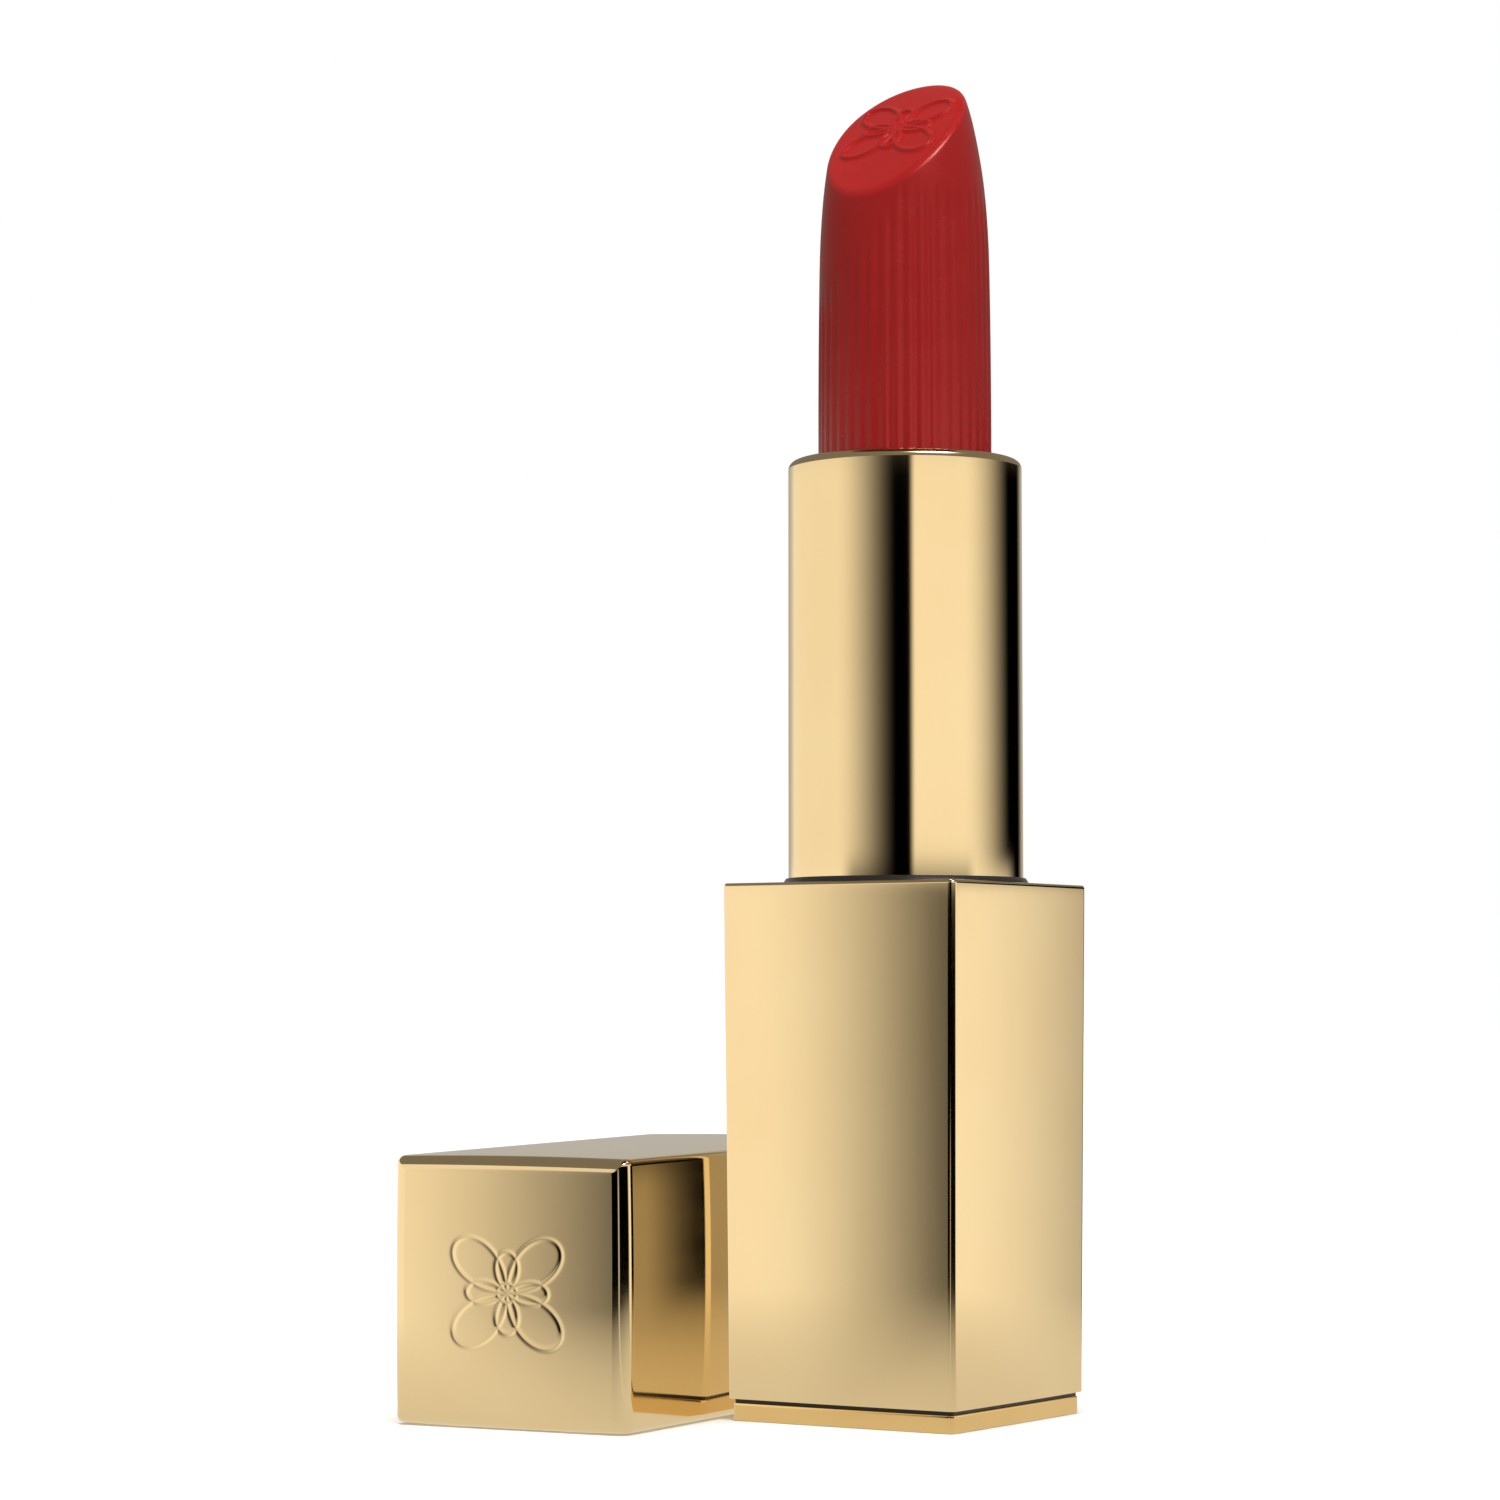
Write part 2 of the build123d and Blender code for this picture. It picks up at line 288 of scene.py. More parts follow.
def metal(name, color, deep, rough, stretch):
    m, nt, b = nodes_of(name)
    tc = add(nt, "ShaderNodeTexCoord").outputs["Object"]
    b.inputs["Metallic"].default_value = 1.0
    nt.links.new(mix(nt, ramp(nt, noise(nt, tc, 300.0, 3.0), 0.3, 0.7, 0, 1), color, deep), b.inputs["Base Color"])
    line = noise(nt, tc, 1200.0, 4.0, 0.6, stretch)
    nt.links.new(ramp(nt, line, 0.3, 0.7, rough * 0.7, rough * 1.4), b.inputs["Roughness"])
    bump(nt, b, line, 0.15, 0.00002)
    return m


def wax(name):
    """Lipstick: creamy red, satin, with warm-tinted reflections and very fine casting grain."""
    m, nt, b = nodes_of(name)
    tc = add(nt, "ShaderNodeTexCoord").outputs["Object"]
    c = mix(nt, ramp(nt, noise(nt, tc, 140.0, 3.0), 0.3, 0.7, 0, 1), (0.40, 0.013, 0.013), (0.365, 0.011, 0.011))
    nt.links.new(c, b.inputs["Base Color"])
    nt.links.new(ramp(nt, noise(nt, tc, 500.0, 4.0), 0.3, 0.7, 0.21, 0.30), b.inputs["Roughness"])
    b.inputs["Specular IOR Level"].default_value = 0.48
    b.inputs["Specular Tint"].default_value = (1.0, 0.66, 0.58, 1.0)
    bump(nt, b, noise(nt, tc, 1300.0, 1.0), 0.05, 0.00002)
    return m


def paper(name):
    m, nt, b = nodes_of(name)
    tc = add(nt, "ShaderNodeTexCoord").outputs["Object"]
    fib = noise(nt, tc, 1500.0, 5.0, 0.7, (1, 0.35, 1))
    nt.links.new(mix(nt, ramp(nt, fib, 0.3, 0.7, 0, 1), (0.88, 0.87, 0.83), (0.80, 0.79, 0.75)), b.inputs["Base Color"])
    nt.links.new(ramp(nt, fib, 0.3, 0.7, 0.7, 0.85), b.inputs["Roughness"])
    bump(nt, b, fib, 0.2, 0.00003)
    return m


GOLD = (0.86, 0.69, 0.41)
GOLD_D = (0.845, 0.665, 0.385)
M = {
    "gold_case": gold("gold_case", GOLD, GOLD_D, 0.065, (1, 1, 0.12)),
    "gold_cap": gold("gold_cap", GOLD, GOLD_D, 0.065, (1, 0.12, 1)),
    "gold_tube": gold("gold_tube", GOLD, GOLD_D, 0.062, (1, 1, 0.05)),
    # the foot's deeper, more saturated gold is painted shade: it stands in for the shaded floor near the contact that
    # the recessed foot mirrors
    "gold_foot": gold("gold_foot", (0.86, 0.61, 0.27), (0.83, 0.57, 0.24), 0.10, (0.3, 0.3, 1)),
    "black_moulding": plastic("black_moulding", (0.016, 0.013, 0.012), (0.024, 0.020, 0.018), 0.34, spec=0.35),
    "natural_moulding": plastic("natural_moulding", (0.78, 0.77, 0.72), (0.74, 0.73, 0.68), 0.38),
    "steel": metal("steel", (0.58, 0.58, 0.59), (0.50, 0.50, 0.52), 0.28, (1, 1, 0.1)),
    "magnet": metal("magnet", (0.66, 0.66, 0.68), (0.60, 0.60, 0.62), 0.18, (1, 1, 1)),
    "silicone": plastic("silicone", (0.50, 0.51, 0.53), (0.46, 0.47, 0.49), 0.55),
    "label_paper": paper("label_paper"),
    "lipstick_red": wax("lipstick_red"),
}

# every CAD node that stays gets its slot's material
slot_of = {s["node"]: s["material_slot"] for s in rec["subparts"]}
for name, ob in frame["nodes"].items():
    mat = M[slot_of[name]]
    for s in ob.material_slots:
        s.material = mat
    if not ob.material_slots:
        ob.data.materials.append(mat)


# ------------------------------------------------------------------ base shell
def side_at(z):
    return SIDE_BOTTOM + (SIDE_MOUTH - SIDE_BOTTOM) * (z - SHELL_Z0) / (BASE_TOP - SHELL_Z0)


TAPER = (SIDE_MOUTH - SIDE_BOTTOM) / 2 / (BASE_TOP - SHELL_Z0)


def shell_loops(h_of, z0, z1, t, rim, foot, crown, n, nc, levels, tap):
    """Open square sleeve, from its lower edge up the outside, over the rim and down the inside."""
    loops = []

    def lp(z, d, nr, nz):
        h = h_of(z) - d
        c = crown * max(0.0, 1 - d / t)
        loops.append(lift(square_loop(h, max(CORNER_R - d, 0.12), c, n, nc), z, nr, nz))

    for a in (270, 240, 210, 180):                       # outer lower edge, radius foot
        q = math.radians(a)
        lp(z0 + foot + foot * math.sin(q), foot + foot * math.cos(q), -math.cos(q), math.sin(q))
    for k in range(1, levels):
        z = z0 + foot + (z1 - rim - z0 - foot) * k / levels
        lp(z, 0.0, 1.0, -tap)
    for k in range(0, 9):                                # outer rim
        q = math.radians(k * 90 / 8)
        lp(z1 - rim + rim * math.sin(q), rim - rim * math.cos(q), math.cos(q), math.sin(q))
    ri = (t - rim) * 0.9
    for k in range(0, 5):                                # inner rim
        q = math.radians(90 - k * 90 / 4)
        lp(z1 - ri + ri * math.sin(q), t - ri + ri * math.cos(q), -math.cos(q), math.sin(q))
    for z in (z1 - 3, (z0 + z1) / 2, z0 + 2):
        lp(z, t, -1.0, 0.0)
    for a in (0, -30, -60, -90):                         # inner lower edge
        q = math.radians(a)
        lp(z0 + foot + foot * math.sin(q), t - foot + foot * math.cos(q), -math.cos(q), math.sin(q))
    return loops


def corner_attr(V, half):
    """1 on the long edges, falling to 0 within a millimetre: where handling polishes the finish."""
    d = np.minimum(half - np.abs(V[:, 0]), 9) + np.minimum(half - np.abs(V[:, 1]), 9)
    return np.clip(1 - d / 1.2, 0, 1)


loops = shell_loops(lambda z: side_at(z) / 2, SHELL_Z0, BASE_TOP, SHELL_T, 0.26, 0.06, CROWN, 48, 7, 26, TAPER)
V, F, N = stitch(loops, closed=True)
new_piece("case_base_shell", V, F, N, body="base", mat=M["gold_case"], hides=["base_shell"],
          attrs={"edge": corner_attr(V, 9.35)})

# ------------------------------------------------------------------ foot plate
SP = (18.25 - 2 * SHELL_T - 0.10) / 2
FH = FOOT_SIDE / 2
n, nc = 24, 5
lo = [lift(circle_loop(6.10, n), 0.20, 0, -1), lift(circle_loop(6.10, n), 0.199, -1, 0), lift(circle_loop(6.10, n), 0.03, -1, 0),
      lift(circle_loop(6.13, n), 0.0, 0, -1), lift(square_loop(FH - 0.14, 0.36, 0.02, n, nc), 0.0, 0, -1)]
for k in range(1, 5):
    q = math.radians(270 + k * 22.5)
    lo.append(lift(square_loop(FH - 0.12 + 0.12 * math.cos(q), 0.36 + 0.12 * math.cos(q), 0.05, n, nc), 0.12 + 0.12 * math.sin(q),
                   math.cos(q), math.sin(q)))
for z in (0.4, 0.7, 1.0):
    lo.append(lift(square_loop(FH, 0.48, 0.05, n, nc), z))
for k in range(0, 5):
    q = math.radians(k * 22.5)
    lo.append(lift(square_loop(FH - 0.08 + 0.08 * math.cos(q), 0.40 + 0.08 * math.cos(q), 0.05, n, nc), FOOT_H - 0.08 + 0.08 * math.sin(q),
                   math.cos(q), math.sin(q)))
lo.append(lift(square_loop(SP + 0.02, 0.30, 0.0, n, nc), FOOT_H, 0, 1))
lo.append(lift(square_loop(SP, 0.30, 0.0, n, nc), FOOT_H + 0.02, 1, 0))
lo.append(lift(square_loop(SP, 0.30, 0.0, n, nc), 3.12, 1, 0))
lo.append(lift(square_loop(SP - 0.08, 0.30, 0.0, n, nc), 3.20, 0, 1))
lo.append(lift(square_loop(SP - 1.15, 0.30, 0.0, n, nc), 3.20, 0, 1))
lo.append(lift(square_loop(SP - 1.20, 0.30, 0.0, n, nc), 3.12, -1, 0))
lo.append(lift(square_loop(SP - 1.20, 0.30, 0.0, n, nc), 2.20, -1, 0))
lo.append(lift(square_loop(SP - 1.25, 0.30, 0.0, n, nc), 2.20, 0, 1))
V, F, N = stitch(lo, start_fan=((0, 0, 0.20), (0, 0, -1)), end_fan=((0, 0, 2.20), (0, 0, 1)))
# the foot's spigot above FOOT_H gets black moulding: painted shade for the dark seam gap between shell and foot
new_piece("case_foot", V, F, None, 30, body="base", mat=M["gold_foot"], hides=["base_foot"],
          attrs={"edge": corner_attr(V, 8.8)}, seam_shade_above=FOOT_H + 0.005)

# ------------------------------------------------------------------ neck bezel
n, nc = 48, 6
PL = side_at(36.0) / 2 - SHELL_T - 0.05
ci = lambda r, z, nr, nz: lift(circle_loop(r, n), z, nr, nz)
lo = [ci(TUBE_R + 0.09, 35.35, -1, 0), ci(TUBE_R + 0.09, 37.20, -1, 0), ci(TUBE_R + 0.12, 37.25, -0.7, 0.7), ci(TUBE_R + 0.16, NECK_TOP, 0, 1),
      ci(TUBE_R + 0.20, 37.24, 0.6, 0.8), ci(NECK_R - 0.03, 36.92, 0.8, 0.6), ci(NECK_R, 36.86, 1, 0), ci(NECK_R, 36.66, 1, 0),
      ci(NECK_R + 0.03, 36.59, 0.7, 0.7), ci(NECK_R + 0.09, 36.56, 0, 1), lift(square_loop(PL - 0.05, 0.2, 0, n, nc), 36.55, 0, 1),
      lift(square_loop(PL, 0.22, 0, n, nc), 36.50, 1, 0), lift(square_loop(PL, 0.22, 0, n, nc), 35.35, 1, 0)]
V, F, N = stitch(lo, closed=True)
new_piece("case_neck_bezel", V, F, None, 35, body="base", mat=M["black_moulding"], hides=["neck_collar"])

# ------------------------------------------------------------------ tube cover
RI = TUBE_R - TUBE_WALL
RIM = 0.60
prof = [(TUBE_R - 0.12, SLEEVE_BOTTOM, 0, -1), (TUBE_R - 0.05, SLEEVE_BOTTOM + 0.04, 0.6, -0.8), (TUBE_R, SLEEVE_BOTTOM + 0.2, 1, -0.1)]
prof += [(TUBE_R, SLEEVE_BOTTOM + 0.3 + (TUBE_TOP - RIM - SLEEVE_BOTTOM - 0.3) * k / 24, 1, 0) for k in range(25)]
prof += [(TUBE_R - RIM + RIM * math.cos(math.radians(a)), TUBE_TOP - RIM + RIM * math.sin(math.radians(a)), math.cos(math.radians(a)), math.sin(math.radians(a))) for a in range(6, 91, 6)]
prof += [(6.90, TUBE_TOP, 0, 1), (6.78, TUBE_TOP - 0.01, -0.2, 1), (6.68, TUBE_TOP - 0.06, -0.7, 0.7), (6.62, TUBE_TOP - 0.16, -1, 0), (6.62, TUBE_TOP - 0.36, -1, 0),
         (6.70, TUBE_TOP - 0.45, 0, -1), (RI - 0.05, TUBE_TOP - 0.45, 0, -1), (RI, TUBE_TOP - 0.50, -1, 0), (RI, 50.0, -1, 0), (RI, SLEEVE_BOTTOM + 0.05, -1, 0), (RI + 0.04, SLEEVE_BOTTOM, 0, -1)]
V, F, N = stitch(lathe(prof, 256), closed=True)
edge = np.clip(1 - np.abs(np.hypot(V[:, 0] - 0, V[:, 1]) - (TUBE_R - 0.2)) / 0.5, 0, 1) * np.clip((V[:, 2] - (TUBE_TOP - 0.9)) / 0.5, 0, 1)
new_piece("tube_sleeve", V, F, N, body="sleeve", mat=M["gold_tube"], hides=["tube_cover"], attrs={"edge": edge})


# ------------------------------------------------------------------ generic ornament: a rosette of line petals
def ornament(scale):
    """Points of the rosette's lines, about 8 mm across at scale 1."""
    t = np.linspace(0, 2 * math.pi, 2400, endpoint=False)
    out = []
    r = 4.1 * np.cos(2 * t)
    out.append(np.stack([r * np.cos(t + math.pi / 4), r * np.sin(t + math.pi / 4)], 1))
    r = 2.35 * np.cos(2 * t)
    out.append(np.stack([r * np.cos(t), r * np.sin(t)], 1))
    for cr in (0.55,):
        out.append(np.stack([cr * np.cos(t), cr * np.sin(t)], 1))
    return np.concatenate(out) * scale


def line_field(P, pts, width):
    """exp(-(d/width)^2) of each point's distance to the lines."""
    tree = kdtree.KDTree(len(pts))
    for i, p in enumerate(pts):
        tree.insert((p[0], p[1], 0), i)
    tree.balance()
    lim = np.abs(pts).max() + 4 * width
    out = np.zeros(len(P))
    for i, p in enumerate(P):
        if abs(p[0]) < lim and abs(p[1]) < lim:
            out[i] = tree.find((p[0], p[1], 0))[2]
        else:
            out[i] = 9
    return np.exp(-(out / width) ** 2)


# ------------------------------------------------------------------ cap
def cap_h(s):
    return (SIDE_END + (SIDE_MOUTH - SIDE_END) * s / CAP_LEN) / 2


tilt = math.atan((SIDE_MOUTH - SIDE_END) / 2 / CAP_LEN)
LAY = (Matrix.Translation((CAP_X, CAP_Y, 0)) @ Matrix.Rotation(math.radians(CAP_YAW), 4, "Z") @ Matrix.Rotation(tilt, 4, "X")
       @ Matrix.Translation((0, 0, SIDE_END / 2)) @ Matrix.Rotation(math.radians(-90), 4, "X"))
LM = np.array(LAY)


def lay(V, N):
    V = np.asarray(V) @ LM[:3, :3].T + LM[:3, 3]
    return V, np.asarray(N) @ LM[:3, :3].T


G = 216                                                # cells across the end face
nc = 8
R = CAP_EDGE_R
tap = (SIDE_MOUTH - SIDE_END) / 2 / CAP_LEN
cap_loops = []


def cl(s, d, nr, nz, crown=CROWN, rmin=0.10):
    cap_loops.append(lift(square_loop(cap_h(s) - d, max(CORNER_R - d, rmin), crown, G, nc), s, nr, nz))


for k in range(0, 15):                                 # closed-end rounding, from the end face outwards
    q = math.radians(k * 90 / 14)
    cl(R - R * math.cos(q), R - R * math.sin(q), math.sin(q), -math.cos(q), CROWN * (0.35 + 0.65 * math.sin(q)))
for k in range(1, 22):
    cl(R + (CAP_LEN - 0.1 - R) * k / 21, 0.0, 1.0, -tap)
for k in range(1, 5):
    q = math.radians(k * 22.5)
    cl(CAP_LEN - 0.1 + 0.1 * math.sin(q), 0.1 - 0.1 * math.cos(q), math.cos(q), math.sin(q), CROWN * 0.9)
cl(CAP_LEN, 0.30, 0, 1, CROWN * 0.3, 0.2)
cl(CAP_LEN - 0.06, 0.38, -0.7, 0.7, 0.0, 0.2)
cl(CAP_LEN - 0.12, 0.40, -1, 0, 0.0, 0.2)
for s in (CAP_LEN - 2, 20.0, 3.0, 1.2):
    cl(s, 0.40, -1, 0, 0.0, 0.2)
cl(0.75, 0.55, -0.7, 0.7, 0.0, 0.2)
cl(0.60, 0.90, 0, 1, 0.0, 0.2)
V, F, N = stitch(cap_loops, end_fan=((0, 0, 0.60), (0, 0, 1)))
m = 4 * G
# the end face: a fine grid whose border is the first loop, engraved
h0 = cap_h(0) - R
g = np.linspace(-h0, h0, G + 1)
X, Y = np.meshgrid(g, g, indexing="ij")
dome = 0.035 * (1 - (X / h0) ** 2) * (1 - (Y / h0) ** 2)
E_D, E_W = 0.019, 0.15
TURN = 0.0
flat = np.stack([X.ravel(), Y.ravel()], 1)
field = line_field(flat, ornament(1.0) * (1.34, 1.16), E_W).reshape(X.shape)
Z = -dome * 0.0 + E_D * field
gx, gy = np.gradient(Z, g, g)
gn = unit(np.stack([gx, gy, -np.ones_like(gx)], -1))
# crowned end: normals lean outwards towards the borders
lean = 0.004
gn = unit(gn + np.stack([lean * X / h0 + TURN, lean * Y / h0, np.zeros_like(X)], -1))
for k in range(15):                                    # the rounding takes up the same lean
    q = math.radians(k * 90 / 14)
    N[k * m:(k + 1) * m, 0] += TURN * math.cos(q) ** 2
N = unit(N)
idx = -np.ones((G + 1, G + 1), int)
for k in range(G):                                     # border vertices are those of loop 0
    idx[k, 0] = k
    idx[G, k] = G + k
    idx[G - k, G] = 2 * G + k
    idx[0, G - k] = 3 * G + k
inner = np.argwhere(idx < 0)
base_i = len(V)
V = np.vstack([V, np.column_stack([X[inner[:, 0], inner[:, 1]], Y[inner[:, 0], inner[:, 1]], Z[inner[:, 0], inner[:, 1]]])])
N = np.vstack([N, gn[inner[:, 0], inner[:, 1]]])
idx[inner[:, 0], inner[:, 1]] = base_i + np.arange(len(inner))
a, b, c_, d_ = idx[:-1, :-1].ravel(), idx[:-1, 1:].ravel(), idx[1:, 1:].ravel(), idx[1:, :-1].ravel()
F += np.stack([a, b, c_, d_], 1).tolist()
edge = corner_attr(V, 9.30)
V2, N2 = lay(V, N)
new_piece("cap_case_shell", V2, F, N2, body="cap", mat=M["gold_cap"], hides=["cap_shell"], attrs={"edge": edge})

# liner and mouth ring
n, nc = 48, 6
LT = CAP_LEN - 0.55 - 0.90
hl = lambda s: cap_h(s) - SHELL_T - 0.04
lo = [lift(square_loop(hl(0.65), 0.22, 0, n, nc), 0.65, 1, 0), lift(square_loop(hl(LT), 0.22, 0, n, nc), LT, 1, 0),
      lift(circle_loop(LINER_R, n), LT, 0, 1), lift(circle_loop(LINER_R, n), CAP_LEN - LINER_DEPTH + 0.5, -1, 0)]
for k in range(1, 5):
    q = math.radians(k * 22.5)
    lo.append(lift(circle_loop(LINER_R - 0.5 + 0.5 * math.cos(q), n), CAP_LEN - LINER_DEPTH + 0.5 - 0.5 * math.sin(q), -math.cos(q), math.sin(q)))
lo.append(lift(circle_loop(4.0, n), CAP_LEN - LINER_DEPTH, 0, 1))
lo.append(lift(circle_loop(3.9, n), CAP_LEN - LINER_DEPTH - 0.1, -1, 0.3))
lo.append(lift(circle_loop(3.8, n), CAP_LEN - LINER_DEPTH - 0.1, 0, 1))
V, F, N = stitch(lo, end_fan=((0, 0, CAP_LEN - LINER_DEPTH - 0.1), (0, 0, 1)), start_fan=((0, 0, 0.65), (0, 0, -1)))
V2, N2 = lay(V, N)
new_piece("cap_inner_liner", V2, F, None, 35, body="cap", mat=M["black_moulding"], hides=["cap_liner"])
q0, q1 = LT + 0.03, CAP_LEN - 0.55
lo = [lift(circle_loop(LINER_R + 0.02, n), q0, -1, 0), lift(circle_loop(LINER_R + 0.02, n), q1 - 0.12, -1, 0), lift(circle_loop(LINER_R + 0.06, n), q1 - 0.03, -0.7, 0.7),
      lift(circle_loop(LINER_R + 0.14, n), q1, 0, 1), lift(square_loop(hl(q1) - 0.07, 0.16, 0, n, nc), q1, 0, 1), lift(square_loop(hl(q1) - 0.02, 0.2, 0, n, nc), q1 - 0.05, 1, 0),
      lift(square_loop(hl(q1) - 0.02, 0.2, 0, n, nc), q0, 1, 0)]
V, F, N = stitch(lo, closed=True)
V2, N2 = lay(V, N)
new_piece("cap_inner_mouth_ring", V2, F, None, 35, body="cap", mat=M["black_moulding"], hides=["cap_mouth_ring"])

# ------------------------------------------------------------------ bullet
PZ = np.array([58.65, 66.0, 70.0, 74.0, 77.0, 80.0, 82.0, 83.8, 85.4, 86.9, 88.2, 89.4, 90.6, 91.6, 92.4, 93.4, 94.2, 95.0, 95.8, 97.0])
PR = np.array([6.08, 6.08, 6.08, 6.06, 6.03, 5.985, 5.93, 5.83, 5.70, 5.52, 5.31, 5.09, 4.84, 4.58, 4.30, 3.95, 3.60, 3.15, 2.6, 1.6])


def R_of(z):
    z = np.asarray(z, float)
    # smooth the table with a short running mean
    s = 0
    for o, w in ((-0.9, 1), (-0.45, 2), (0, 3), (0.45, 2), (0.9, 1)):
        s = s + w * np.interp(z + o, PZ, PR)
    return np.minimum(s / 9, 6.08)


FL = 42
NT = FL * 12
psi = np.arange(NT) * 2 * math.pi / NT                  # measured from +Y, towards -X
SZ, SM, SC = 91.00, 0.99, 0.016
cos = np.cos(psi)


def slant(r, cp):
    y = r * cp
    return SZ + SM * y - SC * y * y


# where the side meets the slanted face
rr = np.full(NT, 5.5)
for _ in range(80):
    rr = 0.6 * rr + 0.4 * R_of(slant(rr, cos))
rz = slant(rr, cos)
NS, NA, ND = 110, 12, 96
back_s = 0.62 + 0.16 * cos                              # how far the melted edge reaches down the side
back_t = 0.60 + 0.30 * cos                              # and in across the face
rows_r, rows_z = [], []
zb = 58.65
for k in range(NS + 1):
    f = k / NS
    z = zb + (rz - back_s - zb) * f
    rows_z.append(z)
    rows_r.append(R_of(z))
r1, z1 = rows_r[-1], rows_z[-1]
r2 = rr - back_t * 0.9
z2 = slant(r2, cos)
for k in range(1, NA + 1):
    f = k / NA
    rows_r.append((1 - f) ** 2 * r1 + 2 * f * (1 - f) * rr + f * f * r2)
    rows_z.append((1 - f) ** 2 * z1 + 2 * f * (1 - f) * rz + f * f * z2)
for k in range(1, ND):
    f = 1 - k / ND
    r = r2 * f
    rows_r.append(r)
    rows_z.append(slant(r, cos))
RRr, ZZ = np.array(rows_r), np.array(rows_z)
# flutes: shallow rounded grooves that run out upwards, lower down on the -X side
PS = np.broadcast_to(psi, RRr.shape)
right = 0.5 + 0.5 * np.cos(psi - math.radians(-75))      # 1 towards +X, 0 towards -X
run_out = 78.0 + 6.8 * np.clip((right - 0.12) / 0.5, 0, 1) ** 1.2
fade = np.clip((run_out + 1.2 - ZZ) / 3.2, 0, 1)
fade = fade * fade * (3 - 2 * fade)
wave = 0.5 - 0.5 * np.cos(FL * PS)
groove = 0.105 * wave ** 1.3 * fade
on_side = np.zeros_like(RRr)
on_side[: NS + 1] = 1
for k in range(1, NA + 1):
    on_side[NS + k] = 1 - k / NA
RRr = RRr - groove * on_side
XX = -RRr * np.sin(PS)
YY = RRr * np.cos(PS)
# raised generic rosette on the slanted face
face_rows = slice(NS + 1, RRr.shape[0])
up = np.array([0, -SM, 1.0]) / math.hypot(1, SM)
u_ax = XX[face_rows]
v_ax = (YY[face_rows] + 0.95) * math.hypot(1, SM)
P = np.stack([u_ax.ravel(), v_ax.ravel()], 1)
ORN = ornament(1.0) * (1.12, 0.92)
fld = line_field(P, ORN, 0.20).reshape(u_ax.shape)
soft = np.clip((np.arange(u_ax.shape[0]) - 6) / 6, 0, 1)[:, None]
relief = 0.19 * fld * soft
XX[face_rows] += relief * up[0]
YY[face_rows] += relief * up[1]
ZZ[face_rows] += relief * up[2]
K = RRr.shape[0]
V = np.stack([XX.ravel(), YY.ravel(), ZZ.ravel()], 1)
i = np.arange(NT)
j = (i + 1) % NT
F = []
for a in range(K - 1):
    F += np.stack([a * NT + i, a * NT + j, (a + 1) * NT + j, (a + 1) * NT + i], 1).tolist()
V = np.vstack([V, [0, 0, slant(0.0, 1.0)], [0, 0, zb]])
c0, c1 = len(V) - 2, len(V) - 1
cf = line_field(np.array([[0.0, 0.95 * math.hypot(1, SM)]]), ORN, 0.20)[0]
V[c0] += 0.19 * cf * up
F += [[c0, int((K - 1) * NT + p), int((K - 1) * NT + q)] for p, q in zip(i, j)]
F += [[c1, int(q), int(p)] for p, q in zip(i, j)]
new_piece("lipstick_bullet", V, F, None, 60, body="carrier", mat=M["lipstick_red"], hides=["bullet"])

# ------------------------------------------------------------------ stage: floor, light tent, lights, camera
ROT = math.radians(30.9)                                # the camera-aligned directions, turned into the row frame


def turned(x, y):
    return x * math.cos(ROT) - y * math.sin(ROT), x * math.sin(ROT) + y * math.cos(ROT)


fm, nt, b = nodes_of("floor_paint")
tc = add(nt, "ShaderNodeTexCoord").outputs["Object"]
nt.links.new(mix(nt, noise(nt, tc, 20.0, 2.0), (0.93, 0.93, 0.93), (0.95, 0.95, 0.95)), b.inputs["Base Color"])
b.inputs["Roughness"].default_value = 0.9
b.inputs["Specular IOR Level"].default_value = 0.1
me = bpy.data.meshes.new("floor")
S = 4.0
me.from_pydata([(-S, -S, 0), (S, -S, 0), (S, S, 0), (-S, S, 0)], [], [(0, 1, 2, 3)])
me.materials.append(fm)
floor = bpy.data.objects.new("floor", me)
scene.collection.objects.link(floor)
floor.visible_glossy = False                            # the tent's own floor is what polished metal mirrors
floor.visible_diffuse = False

# Levels of the tent: 0 a black gap, 1 the brightest white. azimuth from the viewing direction, + to the right.
GLOW = np.array((1.0, 0.94, 0.83))                    # warm white cloth of the light tent


def softbox(az, a0, a1, s0, s1):
    """A panel from azimuth a0 to a1 with soft borders s0 and s1 degrees wide."""
    u = np.clip((az - (a0 - s0)) / s0, 0, 1)
    v = np.clip((az - a1) / s1, 0, 1)
    return u * u * (3 - 2 * u) * (1 - v * v * (3 - 2 * v))


def level(az, z):
    """Two tiers of two softboxes each, a plain rear wall, and one low strip."""
    rear = 0.5 * (1 - softbox(az, -140, 140, 20, 20))
    strip = 0.6 * softbox(az, -11, -8, 5, 4) * np.clip((18 - z) / 6, 0, 1)
    low = 1.12 * softbox(az, -140, -66, 20, 17) + 1.12 * softbox(az, 72, 110, 14, 24) + strip + rear
    high = 1.05 * softbox(az, -135, -70, 25, 62) + 1.12 * softbox(az, 10, 55, 7, 65) + rear
    t = np.clip((z - 39) / 4, 0, 1)
    lit = low * (1 - t) + high * t
    t = np.clip((z - 82) / 5, 0, 1)
    return lit * (1 - t) + 0.22 * t


def floor_level(x, y):
    """Plain pale floor that joins the wall of the tent at its rim."""
    t = np.clip(np.hypot(x, y) / 120, 0, 1) ** 2
    return level(np.degrees(np.arctan2(x, -y)), np.zeros_like(x)) * t + 0.80 * (1 - t)


TR = 120.0
NZ = np.concatenate([np.linspace(-1, 45, 62), np.linspace(47, 300, 100)])
fine = np.concatenate([np.arange(-180, -70, 2.0), np.arange(-70, -50, 0.25), np.arange(-50, -20, 1.0), np.arange(-20, -5, 0.3), np.arange(-5, 105, 0.8),
                       np.arange(105, 125, 0.25), np.arange(125, 180, 2.0)])
A, Zt = np.meshgrid(fine, NZ, indexing="ij")
col = level(A.ravel(), Zt.ravel())[:, None] * GLOW
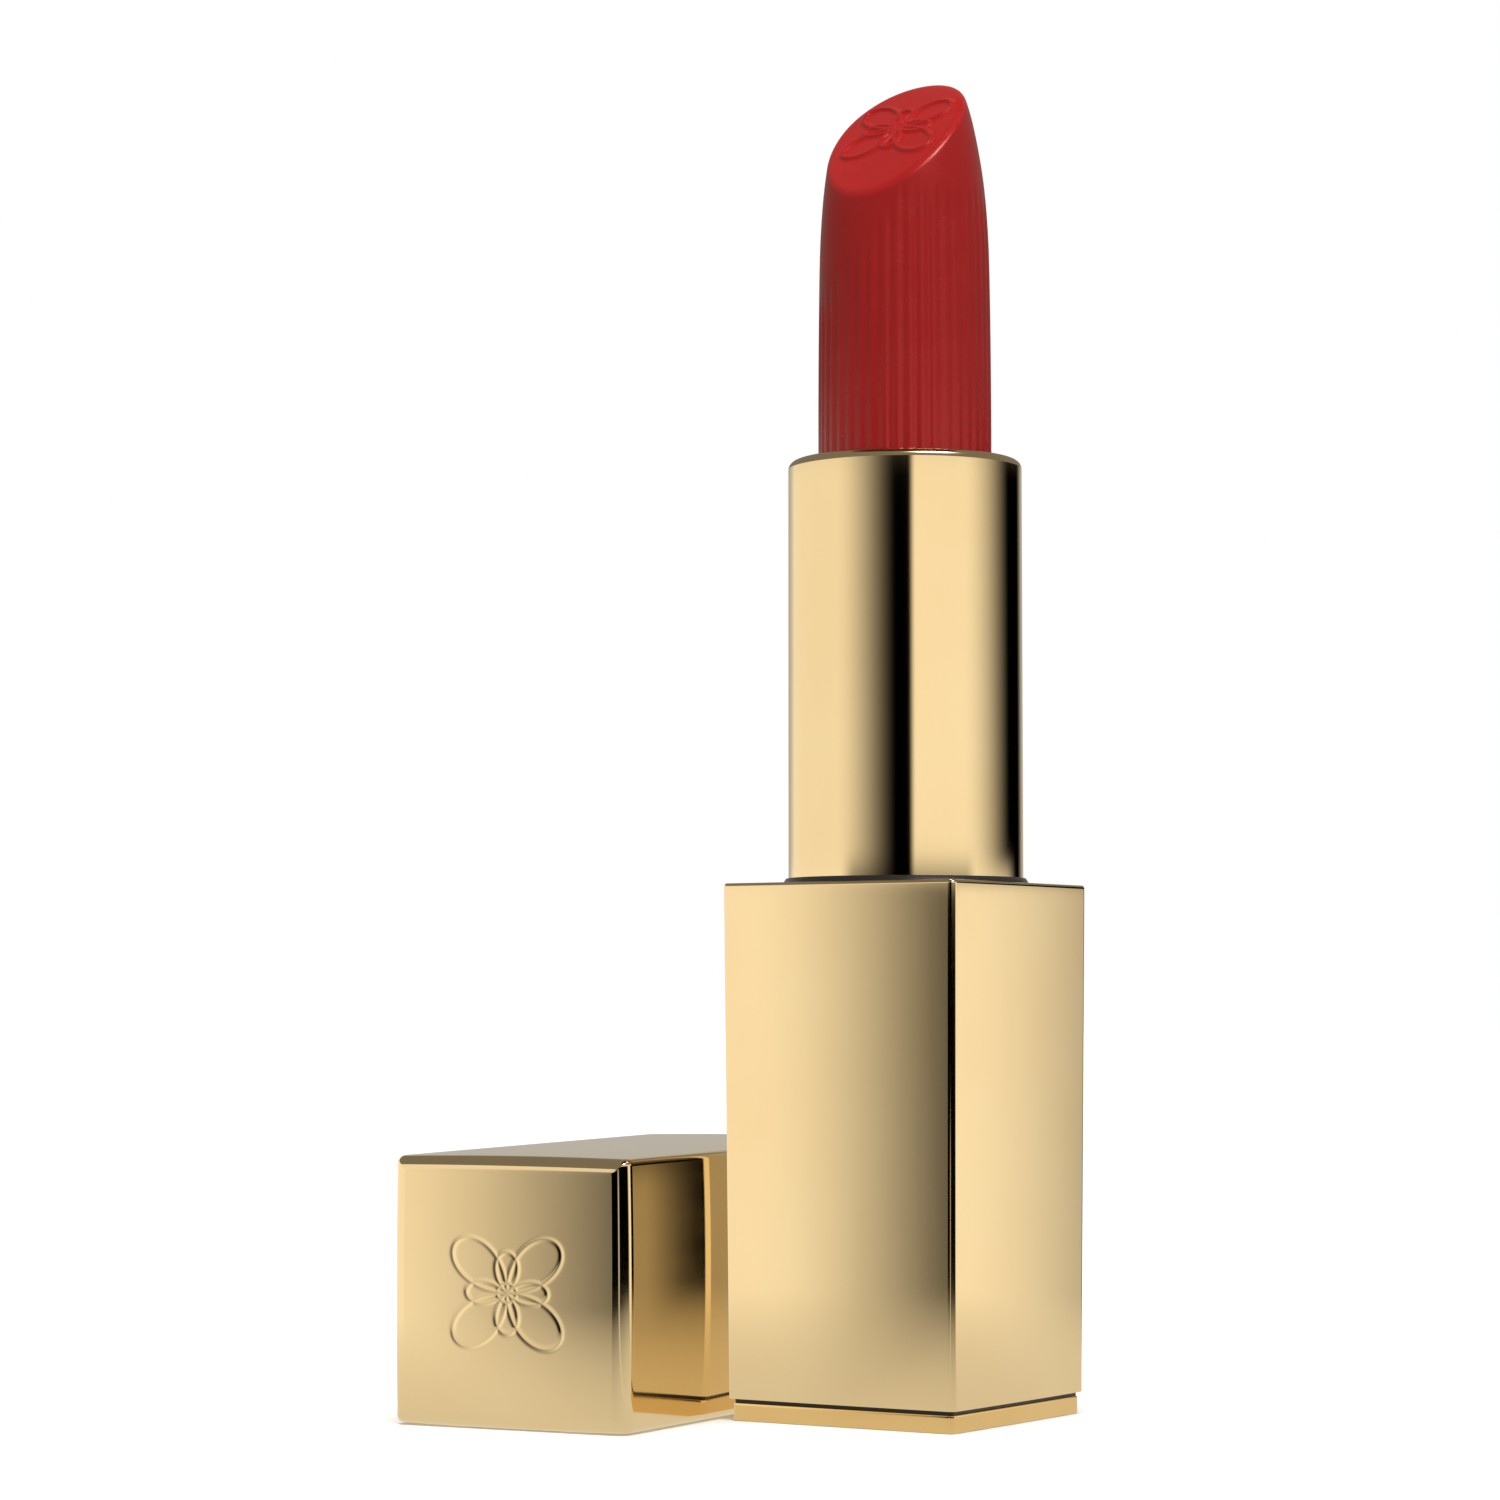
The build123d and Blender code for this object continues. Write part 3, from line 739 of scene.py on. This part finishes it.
# a small bright window for the melted edge of the bullet
w = np.exp(-(((A.ravel() - 36) / 18) ** 2 + ((Zt.ravel() - 225) / 30) ** 2))[:, None]
col = col + 26.0 * w
x = TR * np.sin(np.radians(A.ravel()))
y = -TR * np.cos(np.radians(A.ravel()))
xr, yr = turned(x, y)
me = bpy.data.meshes.new("light_tent")
nz = len(NZ)
na = len(fine)
quads = []
for p in range(na):
    q = (p + 1) % na
    k = np.arange(nz - 1)
    quads += np.stack([p * nz + k, q * nz + k, q * nz + k + 1, p * nz + k + 1], 1).tolist()
fr = np.concatenate([np.linspace(2, 60, 40), np.linspace(62, 121, 30)])
FA, FR = np.meshgrid(fine, fr, indexing="ij")
fx, fy = FR.ravel() * np.sin(np.radians(FA.ravel())), -FR.ravel() * np.cos(np.radians(FA.ravel()))
fcol = floor_level(fx, fy)[:, None] * GLOW
fxr, fyr = turned(fx, fy)
off, nf = na * nz, len(fr)
for p in range(na):
    q = (p + 1) % na
    k = np.arange(nf - 1)
    quads += np.stack([off + p * nf + k, off + p * nf + k + 1, off + q * nf + k + 1, off + q * nf + k], 1).tolist()
col = np.vstack([col, fcol])
pts = np.vstack([np.stack([xr, yr, Zt.ravel()], 1), np.stack([fxr, fyr, np.full(len(fxr), 0.02)], 1)])
me.from_pydata((pts * MM).tolist(), [], quads)
at = me.color_attributes.new("glow", "FLOAT_COLOR", "POINT")
at.data.foreach_set("color", np.column_stack([col, np.ones(len(col))]).astype(np.float32).ravel())
tm = bpy.data.materials.new("tent_glow")
tm.use_nodes = True
nt = tm.node_tree
nt.nodes.clear()
out = add(nt, "ShaderNodeOutputMaterial")
em = add(nt, "ShaderNodeEmission")
em.inputs["Strength"].default_value = 1.0
ca = add(nt, "ShaderNodeAttribute", attribute_name="glow")
nt.links.new(ca.outputs["Color"], em.inputs["Color"])
nt.links.new(em.outputs["Emission"], out.inputs["Surface"])
me.materials.append(tm)
tent = bpy.data.objects.new("light_tent", me)
scene.collection.objects.link(tent)
tent.visible_camera = False
tent.visible_diffuse = False
tent.visible_shadow = False
tent.visible_transmission = False

world = bpy.data.worlds.new("studio")
scene.world = world
world.use_nodes = True
wt = world.node_tree
lp = wt.nodes.new("ShaderNodeLightPath")
bg = wt.nodes["Background"]
white = wt.nodes.new("ShaderNodeMix")
white.data_type = "RGBA"
white.inputs["A"].default_value = (0.34, 0.34, 0.34, 1)
white.inputs["B"].default_value = (1.0, 1.0, 1.0, 1)
dark = wt.nodes.new("ShaderNodeMix")
dark.data_type = "RGBA"
dark.inputs["B"].default_value = (0.045, 0.022, 0.010, 1)
wt.links.new(lp.outputs["Is Camera Ray"], white.inputs["Factor"])
wt.links.new(lp.outputs["Is Glossy Ray"], dark.inputs["Factor"])
wt.links.new(white.outputs["Result"], dark.inputs["A"])
wt.links.new(dark.outputs["Result"], bg.inputs["Color"])
bg.inputs["Strength"].default_value = 1.0


def area(name, loc, target, size, power):
    ld = bpy.data.lights.new(name, "AREA")
    ld.shape = "RECTANGLE"
    ld.size, ld.size_y = size
    ld.energy = power
    ob = bpy.data.objects.new(name, ld)
    scene.collection.objects.link(ob)
    ob.location = loc
    ob.rotation_euler = (Vector(target) - Vector(loc)).to_track_quat("-Z", "Y").to_euler()
    return ob


sd = bpy.data.lights.new("overhead", "SUN")
sd.energy = 3.0
sd.angle = math.radians(35)
so = bpy.data.objects.new("overhead", sd)
scene.collection.objects.link(so)
so.rotation_euler = (math.radians(8), 0, ROT)
so.visible_glossy = False
card = area("rim_card", (*turned(0.13, -0.30), 0.32), (0, 0, 0.085), (0.12, 0.10), 0.36)
card.visible_glossy = False
fill = area("side_fill", (*turned(0.20, -0.50), 0.14), (0, 0, 0.07), (0.25, 0.25), 0.42)
fill.visible_glossy = False

for ob in scene.objects:                                 # the case and the cap were lit apart: the case doesn't mirror the cap
    if ob.name.startswith("cap_"):
        ob.visible_glossy = False

cam = bpy.data.cameras.new("camera")
cam.lens = 99.6
cam.sensor_width = 36.0
cam.clip_start = 0.01
cam.clip_end = 20
co = bpy.data.objects.new("camera", cam)
scene.collection.objects.link(co)
co.location = (0.290 * math.sin(ROT), -0.290 * math.cos(ROT), 0.0283)
co.rotation_euler = (math.radians(93.55), 0, math.radians(33.05))
scene.camera = co
scene.view_settings.view_transform = "Standard"
